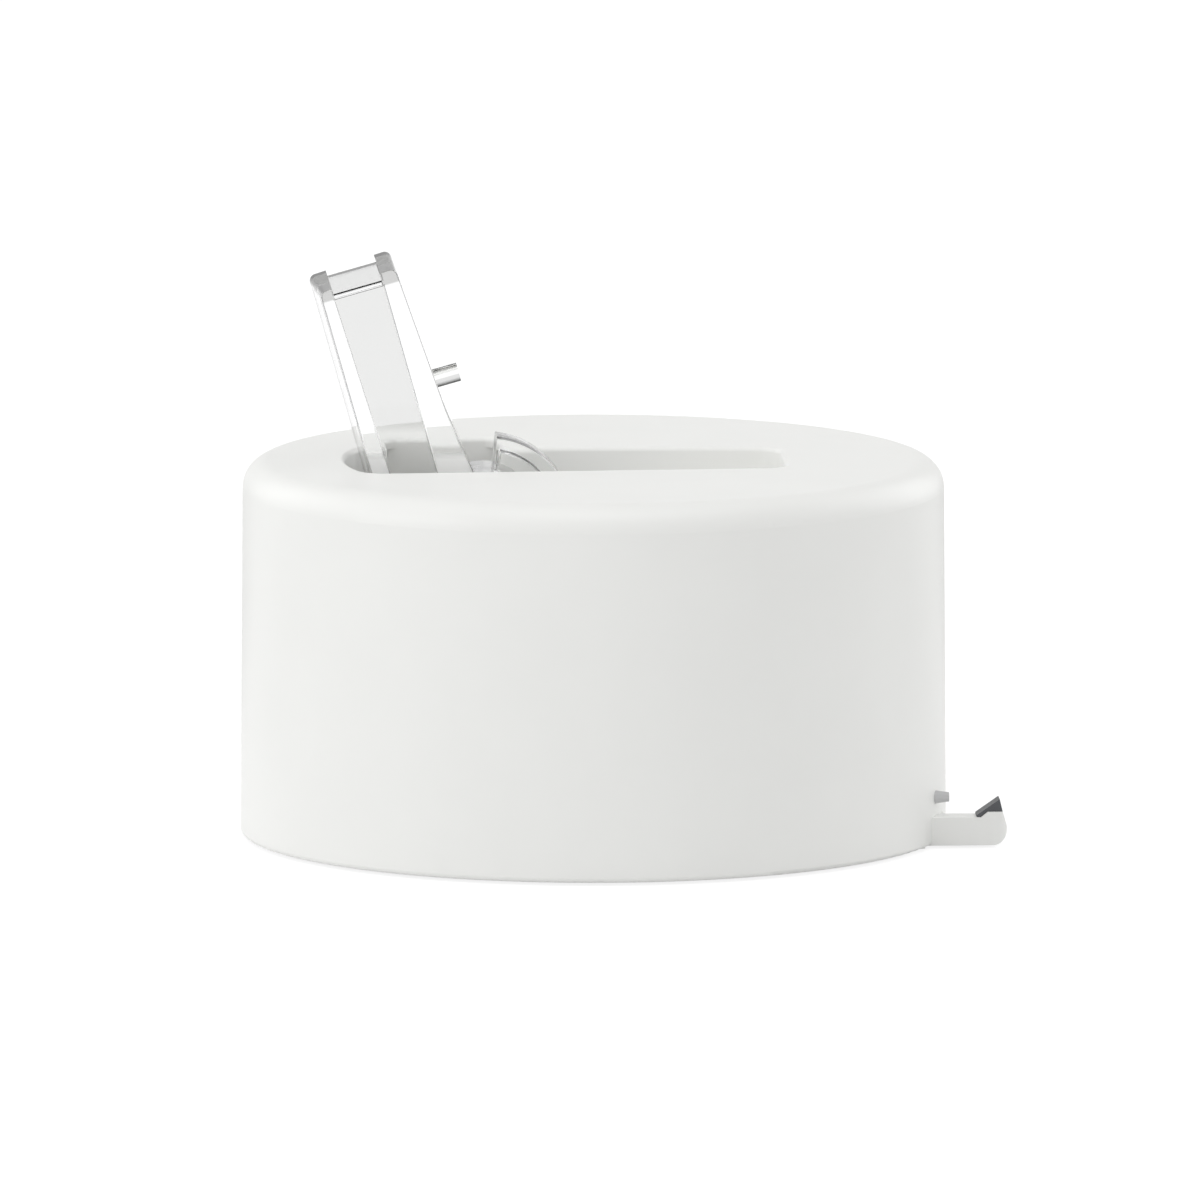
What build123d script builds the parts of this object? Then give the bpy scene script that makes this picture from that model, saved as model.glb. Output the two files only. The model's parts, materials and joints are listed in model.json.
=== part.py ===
from build123d import *

import os
from math import acos, atan2, ceil, cos, hypot, pi, radians, sin, sqrt, tan

# A lever-fed floss dispenser: a white round drum that stands on a table, a clear lever in a slot in its top,
# and a low lug with a steel cutter beside the floss outlet. Pressing the lever down turns a gear train, which
# turns a rubber roller that pushes floss out of the outlet. +X runs along the slot, +Z is up, and the origin
# is on the table at the middle of the drum. Millimetres.

# Drum
drum_radius = 35.3
drum_height = 37.9
drum_draft = 0.4
drum_wall = 2.3
roof_wall = 2.2
top_rounding = 2.8
foot_rounding = 0.5
rim_lift = 0.3

# Base and pad
pad_thickness = 0.8
pad_margin = 0.5
base_thickness = 1.4
base_gap = 0.2

# Slot in the roof, with the lever well under it
slot_left = 24.8
slot_right = 19.0
slot_half_width = 8.45
slot_taper = 0.0525
slot_corner = 2.6
slot_rim = 0.5
well_depth = 7.8
well_wall = 1.4
well_start = -0.6
bay_left = 20.2
bay_right = -8.8
bay_reach = 16.0
bay_lip = 1.0
bay_corner = 1.5

# Lever and its hub
pivot_x = -10.65
pivot_depth = 6.2
lever_tilt = 15.7
lever_half_depth = 7.25
left_rail_height = 27.7
right_rail_height = 28.0
left_rail_outer = -10.45
left_rail_draft = 0.6
trough_left_top = -8.6
trough_left_foot = -7.9
trough_right = -3.55
right_rail_top = -1.95
right_rail_knee = -0.95
right_rail_foot = 0.0
knee_height = 13.0
foot_height = 5.9
trough_floor = 4.2
web_thickness = 1.3
end_wall_top = 27.2
end_wall_thickness = 0.6
rail_rounding = 0.7
lever_edge = 0.22
peg_radius = 0.95
peg_height = 15.25
peg_reach = 1.35
hub_radius = 5.1
axle_radius = 1.5
running_gap = 0.05
fixed_gap = 0.01
side_gap = 0.15
washer_radius = 3.0
boss_wall = 1.8
boss_reach = 2.6
clip_thickness = 0.5
clip_radius = 2.1
bumper_radius = 2.6
bumper_height = 0.5
bumper_stem = 0.9

# Gear train
gear_module = 0.6
pressure_angle = 25.0
tooth_backlash = 0.14
dedendum_share = 1.25
flank_steps = 3
slice_step = 30.0
sector_teeth = 28
pinion_teeth = 12
drive_teeth = 30
feed_teeth = 20
sector_half_width = 2.5
sector_rim_radius = 8.7
sector_ring_wall = 0.45
sector_web = 1.2
sector_start = 6.0
sector_toothed_from = 58.0
sector_toothed_to = 198.0
sector_end = 222.0
sector_face_wall = 0.7
pinion_half_width = 2.9
gear_width = 2.5
gear_side_gap = 0.3
plate_thickness = 1.2
frame_face = 9.8
shaft_radius = 1.25
shaft_tail = 0.4
idler_pin_radius = 1.5
pillar_radius = 1.7
ear_wall = 1.6
ear_thickness = 1.4
ear_gap = 0.9
arm_gap = 1.8
plate_gap = 0.3
pillar_margin = 2.2
pillar_aside = 4.0
frame_wall_gap = 1.0

# Floss outlet, feed roller and pinch roller
outlet_y = -10.5
outlet_z = 5.0
eyelet_radius = 0.65
eyelet_bore = 0.3
eyelet_reach = 1.3
eyelet_flange = 1.5
eyelet_flange_thickness = 0.5
eyelet_boss = 1.0
nip_gap = 0.6
roller_radius = 4.0
roller_core_radius = 3.0
roller_half_width = 2.5
clutch_wall = 1.3
pinch_radius = 1.3
pinch_axle_radius = 0.6
pinch_arm_length = 6.5
pinch_tail = 5.0
pinch_pivot_rise = 1.0
pinch_pivot_radius = 0.8
fork_thickness = 0.8
fork_gap = 0.5
fork_half_height = 1.0
bracket_gap = 1.5
bracket_wall = 1.8
beam_height = 1.5
spring_rise = 4.0

# Springs
spring_wire = 0.5
spring_play = 0.15
return_spring_radius = 2.7
return_spring_turns = 4
pinch_spring_radius = 1.5
pinch_spring_turns = 3

# Floss spool
spool_y = -9.5
spool_share = 0.44
spool_side_gap = 1.2
spool_top_gap = 0.65
spool_core_radius = 5.0
spool_flange = 1.0
winding_margin = 1.0
spindle_radius = 3.0
spindle_clearance = 0.08
felt_thickness = 0.5
felt_radius = 9.0
cap_radius = 3.9
cap_thickness = 1.0
cap_stem_radius = 1.2
cap_stem_length = 5.0
spool_play = 0.3

# Lug and cutter
lug_half_width = 1.5
lug_height = 3.1
lug_reach = 5.5
lug_corner = 1.7
lug_flare = 2.0
nose_length = 1.5
nose_slope = 0.7
nose_end_inset = 0.5
nose_rise = 0.55
blade_tail = 0.4
blade_tip_inset = 0.3
blade_rise = 1.25
blade_thickness = 0.2
blade_half_width = 1.2

# Roundings that nearly fill their edge, and the slack used to pick edges
full_share = 0.9
pick_slack = 0.01

# Screws
screw_radius = 1.0
screw_head_radius = 1.6
screw_head_height = 0.9
screw_length = 6.0
screw_boss_radius = 2.6
screw_boss_height = 9.0
screw_boss_overlap = 0.4
screw_hole_gap = 0.05
screw_angles = (75, 195, 285)
foot_tab_height = 2.0
foot_tab_width = 5.2
small_screw_radius = 0.7
small_screw_length = 2.4
foot_reach = 4.2
screw_tip_room = 0.3

# Derived heights and radii
base_bottom = pad_thickness
base_top = base_bottom + base_thickness
inner_radius = drum_radius - drum_wall
top_radius = drum_radius - drum_height * tan(radians(drum_draft))
roof = drum_height - roof_wall
well_floor = drum_height - well_depth
pivot_z = drum_height - pivot_depth
sector_radius = gear_module * sector_teeth / 2
pinion_radius = gear_module * pinion_teeth / 2
drive_radius = gear_module * drive_teeth / 2
feed_radius = gear_module * feed_teeth / 2

# Depths of the gear train along Y
frame_back = frame_face + plate_thickness
gear_front = frame_back + gear_side_gap
gear_back = gear_front + gear_width
cover_front = gear_back + gear_side_gap
cover_back = cover_front + plate_thickness
small_screw_front = cover_front - small_screw_length
ear_front = -pinion_half_width - ear_gap - ear_thickness
ear_back = ear_front + ear_thickness


def above_between(first, second, first_reach, second_reach):
    """The point above the line between two centres that lies at the given distances from them."""
    span = hypot(second[0] - first[0], second[1] - first[1])
    along_x = (second[0] - first[0]) / span
    along_z = (second[1] - first[1]) / span
    along = (first_reach**2 - second_reach**2 + span**2) / (2 * span)
    aside = sqrt(first_reach**2 - along**2)
    return first[0] + along * along_x - aside * along_z, first[1] + along * along_z + aside * along_x


# Centres of the shafts in the upright X, Z plane
drive_x = pivot_x
drive_z = pivot_z - sector_radius - pinion_radius
roller_x = sqrt(inner_radius**2 - cover_back**2) - frame_wall_gap - pillar_margin - pillar_aside
roller_z = outlet_z + nip_gap / 2 + roller_radius
pinch_z = outlet_z - nip_gap / 2 - pinch_radius
drive_centre = (drive_x, drive_z)
roller_centre = (roller_x, roller_z)
train_span = hypot(roller_x - drive_x, roller_z - drive_z)
idler_teeth = ceil((train_span - drive_radius - feed_radius) / gear_module)
idler_radius = gear_module * idler_teeth / 2
drive_to_idler = drive_radius + idler_radius
idler_to_feed = idler_radius + feed_radius
idler_centre = above_between(drive_centre, roller_centre, drive_to_idler, idler_to_feed)
idler_x, idler_z = idler_centre


def upright(y):
    """The plane at depth y that is seen from the front, with +X to the right and +Z up."""
    return Plane(origin=(0, y, 0), x_dir=(1, 0, 0), z_dir=(0, -1, 0))


def rod(x, z, radius, front, back, mode=Mode.ADD):
    """A round bar along Y."""
    with Locations(Location((x, (front + back) / 2, z), (90, 0, 0))):
        Cylinder(radius, back - front, mode=mode)


def post(x, y, radius, low, high, mode=Mode.ADD):
    """A round bar along Z."""
    with Locations((x, y, low)):
        Cylinder(radius, high - low, align=(Align.CENTER, Align.CENTER, Align.MIN), mode=mode)


def block(low, high, mode=Mode.ADD):
    """A rectangular block between two corners."""
    with Locations(low):
        Box(*(b - a for a, b in zip(low, high)), align=(Align.MIN, Align.MIN, Align.MIN), mode=mode)


def half_width(x):
    """Half the slot's width at x."""
    return slot_half_width - slot_taper * x


def involute(angle):
    return tan(angle) - angle


def gear_points(x, z, teeth, phase):
    """Outline of an involute gear with a tooth centred at the angle phase, in radians."""
    pitch = gear_module * teeth / 2
    base = pitch * cos(radians(pressure_angle))
    tip = pitch + gear_module
    root = pitch - dedendum_share * gear_module
    half_tooth = pi / (2 * teeth) - tooth_backlash / (2 * pitch) + involute(radians(pressure_angle))
    flank = [(root, half_tooth)] if root < base else []
    start = max(root, base)
    for step in range(flank_steps + 1):
        radius = start + (tip - start) * step / flank_steps
        flank.append((radius, half_tooth - involute(acos(base / radius))))
    outline = []
    for tooth in range(teeth):
        centre = phase + 2 * pi * tooth / teeth
        for radius, half in flank:
            outline.append((x + radius * cos(centre - half), z + radius * sin(centre - half)))
        for radius, half in reversed(flank):
            outline.append((x + radius * cos(centre + half), z + radius * sin(centre + half)))
    return outline


def meshing_phase(first, second, first_teeth, second_teeth, first_phase):
    """Phase of the second gear, with a gap facing the first gear's tooth."""
    facing = atan2(second[1] - first[1], second[0] - first[0])
    pitch = 2 * pi / first_teeth
    offset = (first_phase - facing + pitch / 2) % pitch - pitch / 2
    return facing + pi - offset * first_teeth / second_teeth + pi / second_teeth


def screw(x, y, length):
    """A pan-head screw that points up, with its head in the underside of the base plate."""
    post(x, y, screw_head_radius, base_bottom, base_bottom + screw_head_height)
    post(x, y, screw_radius, base_bottom, base_bottom + length)


def screw_hole(x, y):
    """A hole through the base plate, with a seat for the screw's head."""
    seat_top = base_bottom + screw_head_height
    post(x, y, screw_head_radius + screw_hole_gap, base_bottom, seat_top, Mode.SUBTRACT)
    post(x, y, screw_radius + screw_hole_gap, base_bottom, base_top, Mode.SUBTRACT)


def foot_tab(x, front, back):
    """A foot on the base plate, with a blind hole for its screw."""
    top = base_top + foot_tab_height
    middle = (front + back) / 2
    block((x - foot_tab_width / 2, front, base_top), (x + foot_tab_width / 2, back, top))
    post(x, middle, screw_radius + screw_hole_gap, base_top, top, Mode.SUBTRACT)


def slice_points(start, end):
    """Corners of a slice about the pivot, wider than the gear, between two angles clockwise from the top."""
    reach = 2 * sector_radius
    steps = max(1, round((end - start) / slice_step))
    corners = [(pivot_x, pivot_z)]
    for step in range(steps + 1):
        angle = radians(90 - start - (end - start) * step / steps)
        corners.append((pivot_x + reach * cos(angle), pivot_z + reach * sin(angle)))
    return corners


def wall_x(y):
    """X of the drum's outer wall at y, at its foot."""
    return sqrt(drum_radius**2 - y**2)


# Phases that set the gears in mesh at rest
pivot = (pivot_x, pivot_z)
sector_phase = -pi / 2
pinion_phase = meshing_phase(pivot, drive_centre, sector_teeth, pinion_teeth, sector_phase)
drive_phase = 0.0
idler_phase = meshing_phase(drive_centre, idler_centre, drive_teeth, idler_teeth, drive_phase)
feed_phase = meshing_phase(idler_centre, roller_centre, idler_teeth, feed_teeth, idler_phase)

# Places round the lever
tilt = radians(lever_tilt)
lever_plane = Plane(origin=(pivot_x, 0, pivot_z), x_dir=(cos(tilt), 0, sin(tilt)), z_dir=(0, -1, 0))
trough_top = end_wall_top - end_wall_thickness
peg_root = lever_plane.from_local_coords(Vector(trough_right / 2, peg_height, 0))
peg_plane = Plane(origin=peg_root, x_dir=(0, 1, 0), z_dir=lever_plane.x_dir)
boss_face = -half_width(pivot_x)
boss_front = boss_face - boss_reach
bumper_x = pivot_x + peg_height
clips_front = boss_front - clip_thickness
clips_back = frame_back + clip_thickness
sector_root = sector_radius - dedendum_share * gear_module
rim_inside = sector_root - sector_ring_wall
sector_face_angle = sector_face_wall / sector_rim_radius * 180 / pi

# Places of the rollers and of the outlet
roller_front = outlet_y - roller_half_width
roller_back = outlet_y + roller_half_width
fork_front = roller_front - fork_gap - fork_thickness
fork_back = roller_back + fork_gap + fork_thickness
bracket_front = fork_front - bracket_gap - ear_thickness
bracket_back = fork_back + bracket_gap + ear_thickness
pinch_pivot_x = roller_x - pinch_arm_length
pinch_pivot_z = pinch_z + pinch_pivot_rise
tail_x = pinch_pivot_x - pinch_tail
tail_top = pinch_pivot_z + fork_half_height
beam_low = tail_top + spring_rise
bracket_left = tail_x - pinch_spring_radius - bracket_wall
bracket_right = roller_x + shaft_radius + bracket_wall
bracket_top = roller_z + shaft_radius + bracket_wall
bracket_foot_x = pinch_pivot_x + pinch_arm_length / 2
wall_at_outlet = wall_x(outlet_y)
eyelet_seat = wall_at_outlet - drum_wall - eyelet_boss
lug_front = outlet_y - lug_half_width
lug_back = outlet_y + lug_half_width
lug_root = wall_x(lug_front - lug_flare) - drum_wall
lug_end = drum_radius + lug_reach
nose_end = lug_end - nose_end_inset
nose_shoulder = nose_end - nose_length
nose_start = nose_shoulder - nose_slope
nose_height = lug_height + nose_rise
blade_start = nose_start - blade_tail
blade_tip_x = nose_end - blade_tip_inset
blade_tip_z = nose_height + blade_rise
pinch_spring_length = spring_rise - spring_wire - 2 * spring_play
return_spring_length = frame_face - pinion_half_width - spring_wire - 2 * spring_play

# Places of the frame, of its pillars and of the screws
frame_top = well_floor - well_wall - plate_gap
arm_left = drive_x - pinion_radius - gear_module - arm_gap - ear_thickness
arm_reach = shaft_radius + ear_wall
arm_low = drive_z - arm_reach
arm_high = drive_z + arm_reach
drive_keepout = drive_radius + gear_module + pillar_margin
idler_keepout = idler_radius + gear_module + pillar_margin
frame_left = drive_x - drive_radius - pillar_margin
frame_right = roller_x + pillar_aside + pillar_margin
right_pillar_z = roller_z + feed_radius + gear_module + pillar_margin + pillar_radius
high_pillar = above_between(drive_centre, idler_centre, drive_keepout, idler_keepout)
pillar_places = [
    (drive_x - drive_radius, base_top + pillar_aside),
    (drive_x + drive_radius, base_top + pillar_margin),
    high_pillar,
    (roller_x + pillar_aside, right_pillar_z),
]
frame_outline = [
    (frame_left, base_top),
    (frame_right, base_top),
    (frame_right, right_pillar_z + pillar_margin),
    (idler_x, frame_top),
    (drive_x - drive_radius / 2, frame_top),
    (frame_left, drive_z),
]
cover_outline = [(x, max(z, base_top + plate_gap)) for x, z in frame_outline]
screw_circle = inner_radius - screw_boss_radius + screw_boss_overlap
base_screw_places = [
    (screw_circle * cos(radians(angle)), screw_circle * sin(radians(angle))) for angle in screw_angles
]
frame_foot_places = [
    (drive_x - drive_radius, frame_face - foot_reach / 2),
    (idler_x + idler_radius / 2, frame_face - foot_reach / 2),
]
foot_screw_places = frame_foot_places + [
    (bracket_foot_x, bracket_front - foot_reach / 2),
    (bracket_foot_x, bracket_back + foot_reach / 2),
]

# Place and heights of the spool
spool_radius = spool_share * inner_radius
spool_x = bracket_left - spool_side_gap - spool_radius
felt_top = base_top + felt_thickness
spool_low = felt_top + spool_play / 2
spool_high = drive_z - pinion_radius - gear_module - spool_top_gap
spindle_top = spool_high + spool_play
cap_stem_low = spindle_top - cap_stem_length

# Outlines of the slot and of the bay behind the lever's hub
with BuildSketch() as slot_outline:
    with BuildLine():
        corner_x = -sqrt(slot_left**2 - half_width(-slot_left) ** 2)
        front_left = (corner_x, -half_width(corner_x))
        back_left = (corner_x, half_width(corner_x))
        front_right = (slot_right, -half_width(slot_right))
        back_right = (slot_right, half_width(slot_right))
        Line(front_left, front_right)
        Line(front_right, back_right)
        Line(back_right, back_left)
        ThreePointArc(back_left, (-slot_left, 0), front_left)
    make_face()
    fillet(slot_outline.vertices(), slot_corner)

with BuildSketch() as bay_outline:
    with Locations(((bay_right - bay_left) / 2, bay_reach / 2)):
        Rectangle(bay_right + bay_left, bay_reach)
    fillet(bay_outline.vertices().group_by(Axis.Y)[-1], bay_corner)

with BuildSketch() as roof_opening:
    add(slot_outline.sketch)
    add(bay_outline.sketch)
    bay_sides = roof_opening.vertices().filter_by(
        lambda v: min(abs(v.X + bay_left), abs(v.X - bay_right)) < pick_slack
    )
    fillet(bay_sides.group_by(Axis.Y)[0] + bay_sides.group_by(Axis.Y)[1], slot_rim)

# Lug beside the outlet: a side profile with the cutter's nose, and a rounded plan that flares into the wall
with BuildPart() as lug:
    with BuildSketch(upright(outlet_y)):
        with BuildLine():
            Polyline(
                (lug_root, rim_lift),
                (lug_end, rim_lift),
                (lug_end, rim_lift + lug_corner),
                (nose_end, nose_height),
                (nose_shoulder, nose_height),
                (nose_start, lug_height),
                (lug_root, lug_height),
                close=True,
            )
        lug_side = make_face()
        fillet(lug_side.vertices().group_by(Axis.X)[-1].sort_by(Axis.Z)[0], lug_corner * full_share)
    extrude(amount=lug_half_width + lug_flare, both=True)
    with BuildSketch():
        with BuildLine():
            Polyline(
                (lug_root, lug_front - lug_flare),
                (wall_x(lug_front - lug_flare), lug_front - lug_flare),
                (wall_x(lug_front - lug_flare), lug_front),
                (lug_end, lug_front),
                (lug_end, lug_back),
                (wall_x(lug_back + lug_flare), lug_back),
                (wall_x(lug_back + lug_flare), lug_back + lug_flare),
                (lug_root, lug_back + lug_flare),
                close=True,
            )
        lug_plan = make_face()
        fillet(lug_plan.vertices().group_by(Axis.X)[-1], lug_half_width * full_share)
        roots = lug_plan.vertices().filter_by(lambda v: lug_front - pick_slack < v.Y < lug_back + pick_slack)
        fillet(roots.sort_by(Axis.X)[:2], lug_flare * full_share)
    extrude(amount=drum_height, mode=Mode.INTERSECT)
    post(0, 0, drum_radius - drum_wall / 2, 0, drum_height, Mode.SUBTRACT)

# Drum shell
with BuildPart() as drum_shell:
    with BuildSketch(Plane.XZ):
        with BuildLine():
            Polyline(
                (0, drum_height),
                (top_radius, drum_height),
                (drum_radius, rim_lift),
                (inner_radius, rim_lift),
                (inner_radius, roof),
                (0, roof),
                close=True,
            )
        make_face()
    revolve(axis=Axis.Z)
    rims = drum_shell.edges().filter_by(GeomType.CIRCLE)
    fillet(rims.group_by(Axis.Z)[-1], top_rounding)
    rims = drum_shell.edges().filter_by(GeomType.CIRCLE)
    fillet(rims.group_by(Axis.Z)[0].sort_by(SortBy.RADIUS)[-1], foot_rounding)
    # Opening in the roof, with a rounded rim
    with BuildSketch(Plane.XY.offset(roof)):
        add(roof_opening.sketch)
    extrude(amount=roof_wall, mode=Mode.SUBTRACT)
    rim_edges = drum_shell.edges().group_by(Axis.Z)[-1].filter_by(lambda e: e.length < 2 * pi * slot_left)
    fillet(rim_edges, slot_rim)
    # Walls and floor of the well, hung from the roof
    with BuildSketch(Plane.XY.offset(well_floor - well_wall)):
        add(slot_outline.sketch)
        offset(amount=well_wall)
    extrude(amount=roof - well_floor + well_wall)
    # Boss that holds the front end of the lever's axle
    rod(pivot_x, pivot_z, axle_radius + boss_wall, boss_front, boss_face)
    # Inside of the well, open below on the left for the hub
    with BuildSketch(Plane.XY.offset(well_floor)):
        add(slot_outline.sketch)
    extrude(amount=roof - well_floor, mode=Mode.SUBTRACT)
    with BuildSketch(Plane.XY.offset(well_floor - well_wall)):
        add(slot_outline.sketch)
        with Locations((well_start, 0)):
            right_half = (Align.MIN, Align.CENTER)
            Rectangle(slot_left + slot_right, 2 * slot_left, align=right_half, mode=Mode.SUBTRACT)
    extrude(amount=well_wall, mode=Mode.SUBTRACT)
    # Room under a thin lip of the roof, lower by the frame's ear, with a skirt behind the bay and on its left
    lip_low = drum_height - bay_lip
    skirt_low = well_floor - well_wall
    skirt_left = -bay_left - well_wall
    skirt_back = bay_reach + well_wall
    room_right = bay_right + 2 * well_wall
    room_front = half_width(room_right)
    ear_room = pivot_z + axle_radius + ear_wall + gear_side_gap
    block((skirt_left, room_front, skirt_low), (bay_right, skirt_back, lip_low), Mode.SUBTRACT)
    block((bay_right, room_front, skirt_low), (room_right, skirt_back, ear_room), Mode.SUBTRACT)
    block((skirt_left, bay_reach, skirt_low), (bay_right, skirt_back, lip_low))
    block((skirt_left, half_width(-bay_left), skirt_low), (-bay_left, skirt_back, lip_low))
    # Bosses for the screws of the base plate
    for x, y in base_screw_places:
        post(x, y, screw_boss_radius, base_top, base_top + screw_boss_height)
    for x, y in base_screw_places:
        post(x, y, screw_radius + screw_hole_gap, base_top, base_top + screw_length, Mode.SUBTRACT)
    # Boss for the outlet's eyelet, and the lug
    with BuildSketch(Plane.YZ.offset(eyelet_seat)):
        with Locations((outlet_y, outlet_z)):
            Circle(eyelet_flange + eyelet_flange_thickness)
    extrude(amount=wall_at_outlet - drum_wall / 2 - eyelet_seat)
    add(lug.part)
    with BuildSketch(Plane.YZ.offset(eyelet_seat)):
        with Locations((outlet_y, outlet_z)):
            Circle(eyelet_radius + fixed_gap)
    extrude(amount=wall_at_outlet + eyelet_reach - eyelet_seat, mode=Mode.SUBTRACT)
    # Flat seat and hole for the lever's axle, and a hole for the bumper's stem
    rod(pivot_x, pivot_z, washer_radius + side_gap, boss_face, -lever_half_depth, Mode.SUBTRACT)
    rod(pivot_x, pivot_z, axle_radius + fixed_gap, boss_front, boss_face, Mode.SUBTRACT)
    post(bumper_x, 0, bumper_stem + fixed_gap, well_floor - well_wall, well_floor, Mode.SUBTRACT)
drum_shell.part.label = "drum_shell"

# Base plate with the spool's spindle
with BuildPart() as base_plate:
    post(0, 0, inner_radius - base_gap, base_bottom, base_top)
    post(spool_x, spool_y, spindle_radius, base_top, spindle_top)
    post(spool_x, spool_y, cap_stem_radius + fixed_gap, cap_stem_low, spindle_top, Mode.SUBTRACT)
    for x, y in base_screw_places + foot_screw_places:
        screw_hole(x, y)
    # Window under the pinch roller
    block(
        (pinch_pivot_x + pinch_pivot_radius, fork_front - fork_gap, base_bottom),
        (roller_x + pinch_radius + fork_gap, fork_back + fork_gap, base_top),
        Mode.SUBTRACT,
    )
base_plate.part.label = "base_plate"

# Anti-slip pad
with BuildPart() as anti_slip_pad:
    post(0, 0, inner_radius - pad_margin, 0, pad_thickness)
anti_slip_pad.part.label = "anti_slip_pad"

# Screws of the base plate and of the feet that stand on it
with BuildPart() as base_screws:
    for x, y in base_screw_places:
        screw(x, y, base_thickness + screw_length - screw_tip_room)
base_screws.part.label = "base_screws"

with BuildPart() as foot_screws:
    for x, y in foot_screw_places:
        screw(x, y, base_thickness + foot_tab_height - screw_tip_room)
foot_screws.part.label = "foot_screws"

# Cutter blade: a wedge that lies on the lug's nose and rises to its sharp tip
with BuildPart() as cutter_blade:
    with BuildSketch(upright(outlet_y)):
        with BuildLine():
            Polyline(
                (blade_start, lug_height),
                (nose_start, lug_height),
                (nose_shoulder, nose_height),
                (nose_end, nose_height),
                (blade_tip_x, blade_tip_z),
                (blade_start, lug_height + blade_thickness),
                close=True,
            )
        make_face()
    extrude(amount=blade_half_width, both=True)
cutter_blade.part.label = "cutter_blade"

# Eyelet of the outlet
with BuildPart() as outlet_eyelet:
    with BuildSketch(Plane.XY.offset(outlet_z)):
        with BuildLine():
            Polyline(
                (eyelet_seat - eyelet_flange_thickness, outlet_y + eyelet_bore),
                (wall_at_outlet + eyelet_reach, outlet_y + eyelet_bore),
                (wall_at_outlet + eyelet_reach, outlet_y + (eyelet_radius + eyelet_bore) / 2),
                (wall_at_outlet, outlet_y + eyelet_radius),
                (eyelet_seat, outlet_y + eyelet_radius),
                (eyelet_seat, outlet_y + eyelet_flange),
                (eyelet_seat - eyelet_flange_thickness, outlet_y + eyelet_flange),
                close=True,
            )
        make_face()
    revolve(axis=Axis((0, outlet_y, outlet_z), (1, 0, 0)))
outlet_eyelet.part.label = "outlet_eyelet"

# Clear lever: two rails with a web behind them, an end wall, a hub and a peg
with BuildPart() as feed_lever:
    with BuildSketch(lever_plane):
        with BuildLine():
            Polyline(
                (left_rail_outer, trough_floor),
                (left_rail_outer, left_rail_height),
                (right_rail_top, right_rail_height),
                (right_rail_knee, knee_height),
                (right_rail_foot, foot_height),
                (right_rail_foot, 0),
                (-hub_radius * cos(pi / 4), -hub_radius * sin(pi / 4)),
                close=True,
            )
        make_face()
    extrude(amount=lever_half_depth, both=True)
    # Notch above the end wall, which leaves the rails standing as tips
    with BuildSketch(lever_plane):
        with Locations((trough_left_top, end_wall_top)):
            Rectangle(trough_right - trough_left_top, right_rail_height, align=(Align.MIN, Align.MIN))
    extrude(amount=lever_half_depth, both=True, mode=Mode.SUBTRACT)
    # Draft of the left rail's outer side, which is wider at the back
    with BuildSketch(Plane(origin=lever_plane.origin, x_dir=lever_plane.x_dir, z_dir=lever_plane.y_dir)):
        with BuildLine():
            Polyline(
                (left_rail_outer + left_rail_draft, -lever_half_depth),
                (left_rail_outer, lever_half_depth),
                (left_rail_outer - left_rail_draft, lever_half_depth),
                (left_rail_outer - left_rail_draft, -lever_half_depth),
                close=True,
            )
        make_face()
    extrude(amount=right_rail_height, mode=Mode.SUBTRACT)
    # Rounded outer edges of the two tips
    tips = (
        (left_rail_outer + left_rail_draft / 2, left_rail_height),
        (right_rail_top, right_rail_height),
    )
    tip_middles = [lever_plane.from_local_coords(Vector(x, y, 0)) for x, y in tips]
    fillet([feed_lever.edges().sort_by_distance(middle)[0] for middle in tip_middles], rail_rounding)
    # Trough in the front, closed by the end wall and by the web at its back
    with BuildSketch(lever_plane.offset(lever_half_depth)):
        with BuildLine():
            Polyline(
                (trough_left_foot, trough_floor),
                (trough_left_top, trough_top),
                (trough_right, trough_top),
                (trough_right, trough_floor),
                close=True,
            )
        make_face()
    extrude(amount=web_thickness - 2 * lever_half_depth, mode=Mode.SUBTRACT)
    # Softened edges of the front and back faces
    across = feed_lever.faces().sort_by(Axis.Y)
    fillet(across[0].edges() + across[-1].edges(), lever_edge)
    rod(pivot_x, pivot_z, hub_radius, -lever_half_depth, lever_half_depth)
    rod(pivot_x, pivot_z, axle_radius + running_gap, -lever_half_depth, lever_half_depth, Mode.SUBTRACT)
    with BuildSketch(peg_plane):
        Circle(peg_radius)
    extrude(amount=peg_reach - trough_right / 2)
feed_lever.part.label = "feed_lever"

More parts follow.
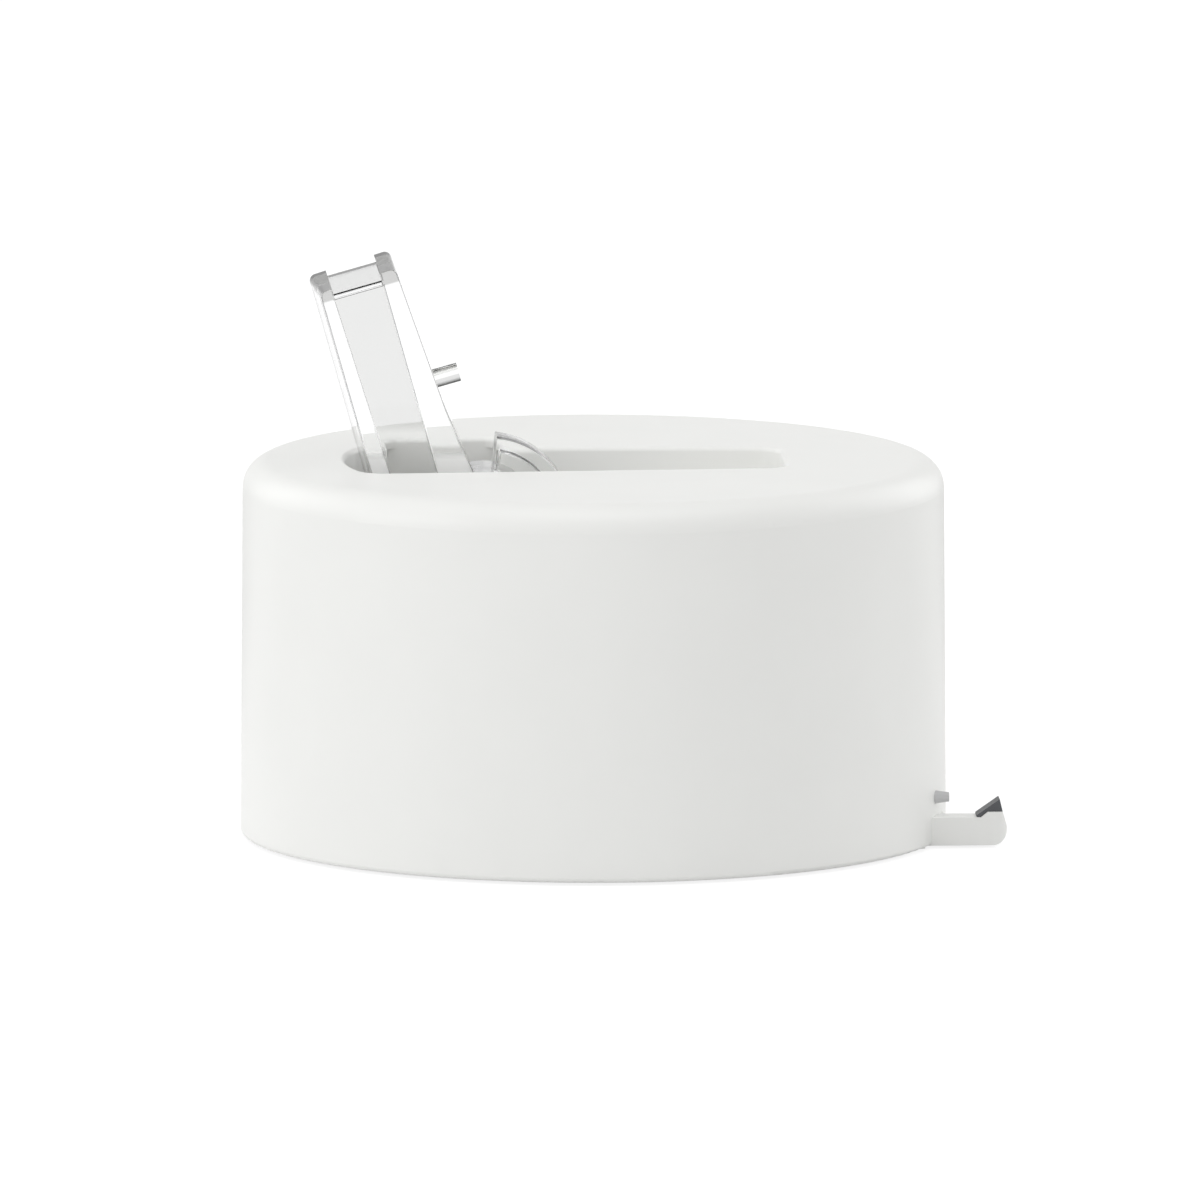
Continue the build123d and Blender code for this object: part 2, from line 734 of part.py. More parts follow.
# Clear ribbed wheel on the hub: teeth below, a smooth rim where it shows, a thin web and two end faces
with BuildPart() as sector_gear:
    with BuildSketch(upright(sector_half_width)):
        with BuildLine():
            Polyline(*gear_points(pivot_x, pivot_z, sector_teeth, sector_phase), close=True)
        make_face()
        with BuildLine():
            Polyline(*slice_points(sector_toothed_from, sector_toothed_to), close=True)
        make_face(mode=Mode.INTERSECT)
    extrude(amount=2 * sector_half_width)
    for start, end in ((sector_start, sector_toothed_from), (sector_toothed_to, sector_end)):
        with BuildSketch(upright(sector_half_width)):
            with Locations(pivot):
                Circle(sector_rim_radius)
            with BuildLine():
                Polyline(*slice_points(start, end), close=True)
            make_face(mode=Mode.INTERSECT)
        extrude(amount=2 * sector_half_width)
    rod(pivot_x, pivot_z, rim_inside, -sector_half_width, sector_half_width, Mode.SUBTRACT)
    with BuildSketch(upright(sector_web / 2)):
        with Locations(pivot):
            Circle((rim_inside + sector_root) / 2)
        with BuildLine():
            Polyline(*slice_points(sector_start, sector_end), close=True)
        make_face(mode=Mode.INTERSECT)
    extrude(amount=sector_web)
    for start in (sector_start, sector_end - sector_face_angle):
        with BuildSketch(upright(sector_half_width)):
            with Locations(pivot):
                Circle(sector_rim_radius)
            with BuildLine():
                Polyline(*slice_points(start, start + sector_face_angle), close=True)
            make_face(mode=Mode.INTERSECT)
        extrude(amount=2 * sector_half_width)
    rod(pivot_x, pivot_z, hub_radius + fixed_gap, -lever_half_depth, lever_half_depth, Mode.SUBTRACT)
sector_gear.part.label = "sector_gear"

# Axle, washers and clips of the lever
with BuildPart() as lever_axle:
    rod(pivot_x, pivot_z, axle_radius, clips_front - shaft_tail, clips_back + shaft_tail)
lever_axle.part.label = "lever_axle"

with BuildPart() as lever_washers:
    rod(pivot_x, pivot_z, washer_radius, boss_face, -lever_half_depth - side_gap)
    rod(pivot_x, pivot_z, washer_radius, lever_half_depth + side_gap, frame_face)
    rod(pivot_x, pivot_z, axle_radius + fixed_gap, boss_face, frame_face, Mode.SUBTRACT)
lever_washers.part.label = "lever_washers"

with BuildPart() as axle_clips:
    rod(pivot_x, pivot_z, clip_radius, clips_front, boss_front)
    rod(pivot_x, pivot_z, clip_radius, frame_back, clips_back)
    rod(pivot_x, pivot_z, axle_radius + fixed_gap, clips_front, clips_back, Mode.SUBTRACT)
axle_clips.part.label = "axle_clips"

# Rubber bumper in the floor of the well, under the peg
with BuildPart() as lever_bumper:
    post(bumper_x, 0, bumper_stem, well_floor - well_wall, well_floor)
    post(bumper_x, 0, bumper_radius, well_floor, well_floor + bumper_height)
lever_bumper.part.label = "lever_bumper"

# Gear frame: an upright plate with an ear for the lever's axle, an arm round the pinion, pillars and feet
with BuildPart() as gear_frame:
    with BuildSketch(upright(frame_back)):
        with BuildLine():
            Polyline(*frame_outline, close=True)
        make_face()
        with Locations((pivot_x, frame_top)):
            Rectangle(2 * (axle_radius + ear_wall), 2 * (pivot_z - frame_top))
        with Locations(pivot):
            Circle(axle_radius + ear_wall)
    extrude(amount=plate_thickness)
    block((arm_left, ear_front, arm_low), (arm_left + ear_thickness, frame_face, arm_high))
    block((arm_left, ear_front, arm_low), (drive_x + arm_reach, ear_back, arm_high))
    for x, z in pillar_places:
        rod(x, z, pillar_radius, frame_back, cover_front)
    for x, y in frame_foot_places:
        foot_tab(x, frame_face - foot_reach, frame_face)
    for x, z in pillar_places:
        rod(x, z, small_screw_radius + screw_hole_gap, small_screw_front, cover_front, Mode.SUBTRACT)
    rod(pivot_x, pivot_z, axle_radius + fixed_gap, frame_face, frame_back, Mode.SUBTRACT)
    rod(drive_x, drive_z, shaft_radius + running_gap, ear_front, frame_back, Mode.SUBTRACT)
    rod(idler_x, idler_z, idler_pin_radius + fixed_gap, frame_face, frame_back, Mode.SUBTRACT)
    rod(roller_x, roller_z, shaft_radius + running_gap, frame_face, frame_back, Mode.SUBTRACT)
gear_frame.part.label = "gear_frame"

with BuildPart() as gear_cover:
    with BuildSketch(upright(cover_back)):
        with BuildLine():
            Polyline(*cover_outline, close=True)
        make_face()
    extrude(amount=plate_thickness)
    for x, z in pillar_places:
        rod(x, z, small_screw_radius + screw_hole_gap, cover_front, cover_back, Mode.SUBTRACT)
    rod(drive_x, drive_z, shaft_radius + running_gap, cover_front, cover_back, Mode.SUBTRACT)
    rod(idler_x, idler_z, idler_pin_radius + fixed_gap, cover_front, cover_back, Mode.SUBTRACT)
    rod(roller_x, roller_z, shaft_radius + running_gap, cover_front, cover_back, Mode.SUBTRACT)
gear_cover.part.label = "gear_cover"

with BuildPart() as cover_screws:
    for x, z in pillar_places:
        rod(x, z, 2 * small_screw_radius, cover_back, cover_back + screw_head_height)
        rod(x, z, small_screw_radius, small_screw_front + screw_tip_room, cover_back)
cover_screws.part.label = "cover_screws"

# Gear train: pinion and drive gear on one shaft, an idler, and the feed gear on its one-way clutch
with BuildPart() as drive_shaft:
    rod(drive_x, drive_z, shaft_radius, ear_front - shaft_tail, cover_back + shaft_tail)
drive_shaft.part.label = "drive_shaft"

with BuildPart() as drive_pinion:
    with BuildSketch(upright(pinion_half_width)):
        with BuildLine():
            Polyline(*gear_points(drive_x, drive_z, pinion_teeth, pinion_phase), close=True)
        make_face()
        with Locations(drive_centre):
            Circle(shaft_radius + fixed_gap, mode=Mode.SUBTRACT)
    extrude(amount=2 * pinion_half_width)
drive_pinion.part.label = "drive_pinion"

with BuildPart() as drive_gear:
    with BuildSketch(upright(gear_back)):
        with BuildLine():
            Polyline(*gear_points(drive_x, drive_z, drive_teeth, drive_phase), close=True)
        make_face()
        with Locations(drive_centre):
            Circle(shaft_radius + fixed_gap, mode=Mode.SUBTRACT)
    extrude(amount=gear_width)
drive_gear.part.label = "drive_gear"

with BuildPart() as idler_gear:
    with BuildSketch(upright(gear_back)):
        with BuildLine():
            Polyline(*gear_points(idler_x, idler_z, idler_teeth, idler_phase), close=True)
        make_face()
        with Locations(idler_centre):
            Circle(idler_pin_radius + running_gap, mode=Mode.SUBTRACT)
    extrude(amount=gear_width)
idler_gear.part.label = "idler_gear"

with BuildPart() as idler_pin:
    rod(idler_x, idler_z, idler_pin_radius, frame_face, cover_back)
idler_pin.part.label = "idler_pin"

with BuildPart() as feed_gear:
    with BuildSketch(upright(gear_back)):
        with BuildLine():
            Polyline(*gear_points(roller_x, roller_z, feed_teeth, feed_phase), close=True)
        make_face()
        with Locations(roller_centre):
            Circle(shaft_radius + clutch_wall + fixed_gap, mode=Mode.SUBTRACT)
    extrude(amount=gear_width)
feed_gear.part.label = "feed_gear"

with BuildPart() as one_way_clutch:
    rod(roller_x, roller_z, shaft_radius + clutch_wall, gear_front, gear_back)
    rod(roller_x, roller_z, shaft_radius + running_gap, gear_front, gear_back, Mode.SUBTRACT)
one_way_clutch.part.label = "one_way_clutch"

# Return spring: a coil round the drive shaft, between the pinion and the frame
with BuildPart() as return_spring:
    with BuildLine() as coil:
        Helix(
            pitch=return_spring_length / return_spring_turns,
            height=return_spring_length,
            radius=return_spring_radius,
            center=(drive_x, pinion_half_width + spring_play + spring_wire / 2, drive_z),
            direction=(0, 1, 0),
        )
    with BuildSketch(Plane(origin=coil.line @ 0, z_dir=coil.line % 0)):
        Circle(spring_wire / 2)
    sweep()
return_spring.part.label = "return_spring"

# Feed roller: a shaft, a core and a rubber tyre
with BuildPart() as feed_shaft:
    rod(roller_x, roller_z, shaft_radius, bracket_front - shaft_tail, cover_back + shaft_tail)
feed_shaft.part.label = "feed_shaft"

with BuildPart() as feed_roller:
    rod(roller_x, roller_z, roller_core_radius, roller_front, roller_back)
    rod(roller_x, roller_z, shaft_radius + fixed_gap, roller_front, roller_back, Mode.SUBTRACT)
feed_roller.part.label = "feed_roller"

with BuildPart() as roller_tyre:
    rod(roller_x, roller_z, roller_radius, roller_front, roller_back)
    rod(roller_x, roller_z, roller_core_radius + fixed_gap, roller_front, roller_back, Mode.SUBTRACT)
roller_tyre.part.label = "roller_tyre"

# Bracket of the rollers: two ears, a beam over the pinch arm's tail, and feet
with BuildPart() as roller_bracket:
    for front in (bracket_front, bracket_back - ear_thickness):
        block((bracket_left, front, base_top), (bracket_right, front + ear_thickness, bracket_top))
    block(
        (bracket_left, bracket_front, beam_low),
        (tail_x + pinch_spring_radius + bracket_wall, bracket_back, beam_low + beam_height),
    )
    foot_tab(bracket_foot_x, bracket_front - foot_reach, bracket_front)
    foot_tab(bracket_foot_x, bracket_back, bracket_back + foot_reach)
    rod(roller_x, roller_z, shaft_radius + running_gap, bracket_front, bracket_back, Mode.SUBTRACT)
    pivot_hole = pinch_pivot_radius + fixed_gap
    rod(pinch_pivot_x, pinch_pivot_z, pivot_hole, bracket_front, bracket_back, Mode.SUBTRACT)
roller_bracket.part.label = "roller_bracket"

# Pinch arm: a fork that carries the pinch roller, a sleeve on its pivot, and a tail under the spring
with BuildPart() as pinch_arm:
    for front in (fork_front, fork_back - fork_thickness):
        with BuildSketch(upright(front + fork_thickness)):
            with BuildLine():
                Polyline(
                    (tail_x - pinch_spring_radius, pinch_pivot_z - fork_half_height),
                    (pinch_pivot_x, pinch_pivot_z - fork_half_height),
                    (roller_x + fork_half_height, pinch_z - fork_half_height),
                    (roller_x + fork_half_height, pinch_z + fork_half_height),
                    (pinch_pivot_x, pinch_pivot_z + fork_half_height),
                    (tail_x - pinch_spring_radius, pinch_pivot_z + fork_half_height),
                    close=True,
                )
            make_face()
        extrude(amount=fork_thickness)
    block(
        (tail_x - pinch_spring_radius, fork_front, pinch_pivot_z),
        (tail_x + pinch_spring_radius + spring_wire, fork_back, pinch_pivot_z + fork_half_height),
    )
    rod(pinch_pivot_x, pinch_pivot_z, pinch_pivot_radius + fork_thickness, fork_front, fork_back)
    rod(pinch_pivot_x, pinch_pivot_z, pinch_pivot_radius + running_gap, fork_front, fork_back, Mode.SUBTRACT)
    rod(roller_x, pinch_z, pinch_axle_radius + fixed_gap, fork_front, fork_back, Mode.SUBTRACT)
pinch_arm.part.label = "pinch_arm"

with BuildPart() as pinch_pivot:
    rod(pinch_pivot_x, pinch_pivot_z, pinch_pivot_radius, bracket_front, bracket_back)
pinch_pivot.part.label = "pinch_pivot"

with BuildPart() as pinch_axle:
    rod(roller_x, pinch_z, pinch_axle_radius, fork_front, fork_back)
pinch_axle.part.label = "pinch_axle"

with BuildPart() as pinch_roller:
    rod(roller_x, pinch_z, pinch_radius, roller_front, roller_back)
    rod(roller_x, pinch_z, pinch_axle_radius + running_gap, roller_front, roller_back, Mode.SUBTRACT)
pinch_roller.part.label = "pinch_roller"

with BuildPart() as pinch_spring:
    with BuildLine() as coil:
        Helix(
            pitch=pinch_spring_length / pinch_spring_turns,
            height=pinch_spring_length,
            radius=pinch_spring_radius,
            center=(tail_x, outlet_y, tail_top + spring_play + spring_wire / 2),
        )
    with BuildSketch(Plane(origin=coil.line @ 0, z_dir=coil.line % 0)):
        Circle(spring_wire / 2)
    sweep()
pinch_spring.part.label = "pinch_spring"

# Spool with its floss, on a felt washer and under a cap
with BuildPart() as spool:
    post(spool_x, spool_y, spool_radius, spool_low, spool_low + spool_flange)
    post(spool_x, spool_y, spool_core_radius, spool_low, spool_high)
    post(spool_x, spool_y, spool_radius, spool_high - spool_flange, spool_high)
    post(spool_x, spool_y, spindle_radius + spindle_clearance, spool_low, spool_high, Mode.SUBTRACT)
spool.part.label = "spool"

with BuildPart() as floss_winding:
    post(spool_x, spool_y, spool_radius - winding_margin, spool_low + spool_flange, spool_high - spool_flange)
    post(spool_x, spool_y, spool_core_radius + fixed_gap, spool_low, spool_high, Mode.SUBTRACT)
floss_winding.part.label = "floss_winding"

with BuildPart() as felt_washer:
    post(spool_x, spool_y, felt_radius, base_top, felt_top)
    post(spool_x, spool_y, spindle_radius + spindle_clearance, base_top, felt_top, Mode.SUBTRACT)
felt_washer.part.label = "felt_washer"

with BuildPart() as spool_cap:
    post(spool_x, spool_y, cap_stem_radius, cap_stem_low, spindle_top)
    post(spool_x, spool_y, cap_radius, spindle_top, spindle_top + cap_thickness)
spool_cap.part.label = "spool_cap"

pieces = (
    drum_shell, base_plate, anti_slip_pad, base_screws, foot_screws, cutter_blade, outlet_eyelet,
    feed_lever, sector_gear, lever_axle, lever_washers, axle_clips, lever_bumper,
    gear_frame, gear_cover, cover_screws, drive_shaft, drive_pinion, drive_gear, idler_gear, idler_pin,
    feed_gear, one_way_clutch, return_spring, feed_shaft, feed_roller, roller_tyre,
    roller_bracket, pinch_arm, pinch_pivot, pinch_axle, pinch_roller, pinch_spring,
    spool, floss_winding, felt_washer, spool_cap,
)
os.makedirs("parts", exist_ok=True)
for piece in pieces:
    export_step(piece.part, f"parts/{piece.part.label}.step")
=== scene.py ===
import json
import math

import bmesh
import bpy
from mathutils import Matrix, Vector


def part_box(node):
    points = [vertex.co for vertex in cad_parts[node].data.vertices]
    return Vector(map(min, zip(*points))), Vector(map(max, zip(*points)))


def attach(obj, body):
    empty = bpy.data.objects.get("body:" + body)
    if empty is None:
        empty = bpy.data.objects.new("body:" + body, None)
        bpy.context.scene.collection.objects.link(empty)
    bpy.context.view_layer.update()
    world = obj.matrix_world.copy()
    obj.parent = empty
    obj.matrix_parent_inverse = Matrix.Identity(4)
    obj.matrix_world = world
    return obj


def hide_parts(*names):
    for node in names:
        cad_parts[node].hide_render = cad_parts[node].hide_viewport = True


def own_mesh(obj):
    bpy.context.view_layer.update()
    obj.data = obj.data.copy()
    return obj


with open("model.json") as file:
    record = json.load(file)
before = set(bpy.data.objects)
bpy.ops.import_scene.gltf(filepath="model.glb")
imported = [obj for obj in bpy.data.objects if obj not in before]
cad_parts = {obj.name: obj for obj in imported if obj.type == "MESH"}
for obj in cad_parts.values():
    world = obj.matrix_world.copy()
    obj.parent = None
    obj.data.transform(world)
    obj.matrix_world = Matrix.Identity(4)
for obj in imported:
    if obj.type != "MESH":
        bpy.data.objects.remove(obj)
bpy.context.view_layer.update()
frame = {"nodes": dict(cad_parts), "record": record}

# A lever-fed floss dispenser in a white studio: a satin white drum, a clear polished lever in its slot, and a
# dark steel cutter on the lug by the outlet. Metres, with +X along the slot and +Z up.

MM = 0.001

# Camera: angles in degrees, the sensor's width in millimetres
view_azimuth = -3.0
view_elevation = 8.13
view_distance = 3.0
view_width = 0.120
view_reach = 20.0
sensor_width = 36.0
view_target = Vector((0.67, 0.0, 23.6)) * MM

# Soft boxes: name, place, side and power
lamps = [
    ("key", (-0.75, -0.35, 0.30), 0.5, 1.3),
    ("top", (0.0, -0.25, 0.75), 0.6, 1.5),
    ("rim_right", (0.6, 0.45, 0.22), 0.7, 2.0),
    ("rim_left", (-0.6, 0.45, 0.22), 0.7, 1.45),
]

# Sky: its light, the heights between which mirrors and clear plastic see it darken, and what is left of it
# there and on the dark flags
ambient = 0.86
sky_white_to = 0.25
sky_dark_from = 0.65
sky_dark = 0.10

# Dark flags behind the object, seen only in mirrors and clear plastic. They are placed round the object by
# x times y over the square of the distance, which is 0 on the axes and 0.5 at the corners. On the floor they
# fade in between two distances from its middle.
flag_from = 0.22
flag_to = 0.34
flag_gap_from = 0.45
flag_gap_to = 0.485
flag_near = 0.06
flag_far = 0.16

# Floor: what the camera sees, what takes the shadow, and what lights the object from below
floor_size = 12.0
floor_glow = 0.86
floor_white = 0.22
floor_bounce = 0.76

# Less than one bounce off a dull surface
no_bounce = 0.5

# Clear lever: where the web gets painted grey shade, where the rails' feet are made milky as painted light,
# and where their tips get painted dark shade, and how each of them looks.
# A face counts as front or back when it lies within the slack and its normal's share along Y is high.
web_thickness = 1.3 * MM
face_slack = 0.1 * MM
face_least_normal = 0.9
# The web's grey is painted shade, standing in for light lost through its clear plates; it fades in between
# these two heights.
web_unshaded_below = 39.7 * MM
web_shaded_above = 40.7 * MM
# The rails' feet get painted light: low down, their front faces let less light through and show their own
# pale colour, standing in for the light carried along the rails.
rail_painted_light_below = 38.9 * MM
rail_clear_above = 40.1 * MM
rail_clearness = 0.4
lever_tilt = math.radians(15.7)
lever_pivot = Vector((-10.65, 0.0, 31.7)) * MM
tip_from = 26.55 * MM
tip_to = 26.75 * MM
tip_dark_from = -2.6 * MM
tip_dark_to = -1.2 * MM
trough_middle = -6.1 * MM
trough_half_width = 2.5 * MM
clear_roughest = 0.02
clear_ior = 1.49
tip_back_ior = 1.12
clear_low_colour = (0.975, 0.98, 0.978)
clear_high_colour = (0.99, 0.992, 0.99)
# Painted shade: the grey tint on the web.
web_painted_shade = (0.61, 0.612, 0.604)
# Painted shade: the tips' dark colours, darkest towards their back, stand in for the dark surroundings that
# the real tips show by refraction.
tip_front_painted_shade = (0.36, 0.36, 0.354)
tip_back_painted_shade = (0.07, 0.07, 0.069)

# Rounded edges of the clear ring
weld_reach = 0.001 * MM
rim_edge = 0.30 * MM
rim_edge_steps = 3
rim_edge_angle = 35.0

# Surfaces: the size of what the noise draws, the depth of its relief, how much plastic bends light, and the
# range that most of a noise lies in
flow_size = 9 * MM
clear_flow_size = 4 * MM
moulded_grain = 0.25 * MM
gear_grain = 0.15 * MM
steel_mark = 0.12 * MM
rubber_pebble = 0.35 * MM
felt_fibre = 0.3 * MM
floss_filament = 0.5 * MM
fine_relief = 0.002 * MM
rubber_relief = 0.015 * MM
felt_relief = 0.08 * MM
floss_relief = 0.03 * MM
plastic_ior = 1.5
noise_low = 0.3
noise_high = 0.7

# Floss winding: the core is a share of the outer radius
floss_width = 0.30 * MM
floss_turn_steps = 96
floss_row_steps = 4
floss_core = 0.38


# Node helpers

def new_material(name):
    """An empty node material with its output and one Principled shader."""
    material = bpy.data.materials.new(name)
    material.use_nodes = True
    tree = material.node_tree
    tree.nodes.clear()
    output = tree.nodes.new("ShaderNodeOutputMaterial")
    shader = tree.nodes.new("ShaderNodeBsdfPrincipled")
    tree.links.new(shader.outputs["BSDF"], output.inputs["Surface"])
    return material, tree, shader


def calculate(tree, operation, first, second=None):
    """One step of arithmetic on node values or plain numbers."""
    step = tree.nodes.new("ShaderNodeMath")
    step.operation = operation
    for socket, value in zip(step.inputs, (first, second)):
        if value is None:
            continue
        if isinstance(value, (int, float)):
            socket.default_value = value
        else:
            tree.links.new(value, socket)
    return step.outputs["Value"]


def split(tree, vector):
    """The X, Y and Z of a vector."""
    parts = tree.nodes.new("ShaderNodeSeparateXYZ")
    tree.links.new(vector, parts.inputs["Vector"])
    return parts.outputs["X"], parts.outputs["Y"], parts.outputs["Z"]


def remap(tree, value, from_low, from_high, to_low=0.0, to_high=1.0):
    """A value moved from one range to another and kept inside it."""
    span = tree.nodes.new("ShaderNodeMapRange")
    span.inputs["From Min"].default_value = from_low
    span.inputs["From Max"].default_value = from_high
    span.inputs["To Min"].default_value = to_low
    span.inputs["To Max"].default_value = to_high
    tree.links.new(value, span.inputs["Value"])
    return span.outputs["Result"]


def spread(tree, value, low, high):
    """A noise spread between low and high."""
    return remap(tree, value, noise_low, noise_high, low, high)


def tint(tree, value, low, high):
    """A 0 to 1 value turned into a colour between low and high."""
    ramp = tree.nodes.new("ShaderNodeValToRGB")
    ramp.color_ramp.elements[0].position = noise_low
    ramp.color_ramp.elements[0].color = (*low, 1)
    ramp.color_ramp.elements[1].position = noise_high
    ramp.color_ramp.elements[1].color = (*high, 1)
    tree.links.new(value, ramp.inputs["Fac"])
    return ramp.outputs["Color"]


def mix(tree, factor, first, second):
    """The first colour where the factor is 0, and the second, which may be plain numbers, where it is 1."""
    blend = tree.nodes.new("ShaderNodeMix")
    blend.data_type = "RGBA"
    tree.links.new(factor, blend.inputs["Factor"])
    tree.links.new(first, blend.inputs["A"])
    if isinstance(second, tuple):
        blend.inputs["B"].default_value = (*second, 1)
    else:
        tree.links.new(second, blend.inputs["B"])
    return blend.outputs["Result"]


def object_coordinates(tree, stretch=(1, 1, 1)):
    """Coordinates fixed to the piece, stretched along its axes."""
    coordinates = tree.nodes.new("ShaderNodeTexCoord")
    mapping = tree.nodes.new("ShaderNodeMapping")
    mapping.inputs["Scale"].default_value = stretch
    tree.links.new(coordinates.outputs["Object"], mapping.inputs["Vector"])
    return mapping.outputs["Vector"]


def noise(tree, vector, grain, detail):
    """Noise whose features are about grain metres wide."""
    texture = tree.nodes.new("ShaderNodeTexNoise")
    texture.inputs["Scale"].default_value = 1 / grain
    texture.inputs["Detail"].default_value = detail
    tree.links.new(vector, texture.inputs["Vector"])
    return texture.outputs["Fac"]


def bump(tree, shader, value, depth):
    """Relief of depth metres on the shader's normal."""
    relief = tree.nodes.new("ShaderNodeBump")
    relief.inputs["Strength"].default_value = 1.0
    relief.inputs["Distance"].default_value = depth
    tree.links.new(value, relief.inputs["Height"])
    tree.links.new(relief.outputs["Normal"], shader.inputs["Normal"])


def shade(colour, amount):
    """A colour made darker by a share."""
    return tuple(c * (1 - amount) for c in colour)


def grained(tree, shader, colour_noise, grain_noise, colour, darker, roughness, relief):
    """Colour follows one noise, darker by a share at its low end; gloss and relief follow another."""
    tree.links.new(tint(tree, colour_noise, shade(colour, darker), colour), shader.inputs["Base Color"])
    tree.links.new(spread(tree, grain_noise, *roughness), shader.inputs["Roughness"])
    bump(tree, shader, grain_noise, relief)


# Materials

def moulded(name, colour, roughness, grain=moulded_grain):
    """Moulded plastic: a fine spark-eroded grain, uneven gloss and faint flow in the colour."""
    material, tree, shader = new_material(name)
    vector = object_coordinates(tree)
    flow = noise(tree, vector, flow_size, detail=2.0)
    texture = noise(tree, vector, grain, detail=4.0)
    uneven = (roughness - 0.05, roughness + 0.05)
    grained(tree, shader, flow, texture, colour, darker=0.012, roughness=uneven, relief=fine_relief)
    shader.inputs["IOR"].default_value = plastic_ior
    return material


def on_face(tree, vector, face_y, from_z, to_z):
    """1 on what faces the front or the back at face_y, and fades out from to_z to from_z."""
    _, y, z = split(tree, vector)
    geometry = tree.nodes.new("ShaderNodeNewGeometry")
    _, normal_y, _ = split(tree, geometry.outputs["True Normal"])
    away = calculate(tree, "ABSOLUTE", calculate(tree, "SUBTRACT", y, face_y))
    near = calculate(tree, "LESS_THAN", away, face_slack)
    across = calculate(tree, "GREATER_THAN", calculate(tree, "ABSOLUTE", normal_y), face_least_normal)
    fade = remap(tree, z, from_z, to_z)
    return calculate(tree, "MULTIPLY", calculate(tree, "MULTIPLY", near, across), fade)


def along(tree, vector, direction):
    """How far a point lies from the lever's pivot along a direction."""
    dot = tree.nodes.new("ShaderNodeVectorMath")
    dot.operation = "DOT_PRODUCT"
    dot.inputs[1].default_value = direction
    tree.links.new(vector, dot.inputs[0])
    return calculate(tree, "SUBTRACT", dot.outputs["Value"], lever_pivot.dot(direction))


def on_tips(tree, vector):
    """Two values: 1 on the tips of the lever's rails, above the end wall, and 1 towards their back."""
    height = along(tree, vector, Vector((-math.sin(lever_tilt), 0.0, math.cos(lever_tilt))))
    across = along(tree, vector, Vector((math.cos(lever_tilt), 0.0, math.sin(lever_tilt))))
    _, y, _ = split(tree, vector)
    upper = remap(tree, height, tip_from, tip_to)
    back = remap(tree, y, tip_dark_from, tip_dark_to)
    aside = calculate(tree, "ABSOLUTE", calculate(tree, "SUBTRACT", across, trough_middle))
    outside = calculate(tree, "GREATER_THAN", aside, trough_half_width)
    return calculate(tree, "MULTIPLY", upper, outside), back


def clear_moulded(name):
    """Clear polished plastic with faint flow lines; on the lever, painted shade greys the web and darkens the
    tips, and painted light makes the feet milky.
    """
    material, tree, shader = new_material(name)
    vector = object_coordinates(tree)
    lever_low, lever_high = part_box("feed_lever")
    # Painted shade: the web's face turns grey above the drum's top.
    web = on_face(tree, vector, lever_high[1] - web_thickness, web_unshaded_below, web_shaded_above)
    # Painted light: a pale, less clear front face on the rails' feet.
    feet = on_face(tree, vector, lever_low[1], rail_clear_above, rail_painted_light_below)
    tips, back = on_tips(tree, vector)
    flow = noise(tree, vector, clear_flow_size, detail=2.0)
    polished = tint(tree, flow, clear_low_colour, clear_high_colour)
    web_shaded_colour = mix(tree, web, polished, web_painted_shade)
    # Painted shade: the rails' tips are tinted dark, darkest towards their back.
    tip_shaded_colour = mix(tree, tips, web_shaded_colour, tint(tree, back, tip_front_painted_shade, tip_back_painted_shade))
    tree.links.new(tip_shaded_colour, shader.inputs["Base Color"])
    tree.links.new(spread(tree, flow, 0.0, clear_roughest), shader.inputs["Roughness"])
    bump(tree, shader, flow, fine_relief)
    # Painted light: the feet pass less light, so their pale colour shows.
    foot_painted_light = calculate(tree, "MULTIPLY", feet, 1 - rail_clearness)
    tree.links.new(calculate(tree, "SUBTRACT", 1.0, foot_painted_light), shader.inputs["Transmission Weight"])
    lower = calculate(tree, "MULTIPLY", calculate(tree, "MULTIPLY", tips, back), clear_ior - tip_back_ior)
    tree.links.new(calculate(tree, "SUBTRACT", clear_ior, lower), shader.inputs["IOR"])
    return material


def drawn_steel(name, colour, roughness, stretch):
    """Steel with fine marks along one direction."""
    material, tree, shader = new_material(name)
    marks = noise(tree, object_coordinates(tree, stretch), steel_mark, detail=3.0)
    uneven = (roughness - 0.08, roughness + 0.1)
    grained(tree, shader, marks, marks, colour, darker=0.18, roughness=uneven, relief=fine_relief)
    shader.inputs["Metallic"].default_value = 1.0
    return material


def soft_rubber(name, colour):
    """Dull rubber with a fine pebbled skin."""
    material, tree, shader = new_material(name)
    skin = noise(tree, object_coordinates(tree), rubber_pebble, detail=5.0)
    grained(tree, shader, skin, skin, colour, darker=0.2, roughness=(0.62, 0.8), relief=rubber_relief)
    return material


def pressed_felt(name, colour):
    """Felt: short tangled fibres and a soft sheen."""
    material, tree, shader = new_material(name)
    fibres = noise(tree, object_coordinates(tree, stretch=(1, 1, 2.5)), felt_fibre, detail=8.0)
    grained(tree, shader, fibres, fibres, colour, darker=0.35, roughness=(0.85, 1.0), relief=felt_relief)
    shader.inputs["Sheen Weight"].default_value = 0.3
    return material


def waxed_floss(name, colour):
    """Flat waxed floss: fine filaments that run along each turn."""
    material, tree, shader = new_material(name)
    filaments = noise(tree, object_coordinates(tree, stretch=(1, 1, 12)), floss_filament, detail=5.0)
    grained(tree, shader, filaments, filaments, colour, darker=0.1, roughness=(0.4, 0.6), relief=floss_relief)
    shader.inputs["Sheen Weight"].default_value = 0.15
    return material


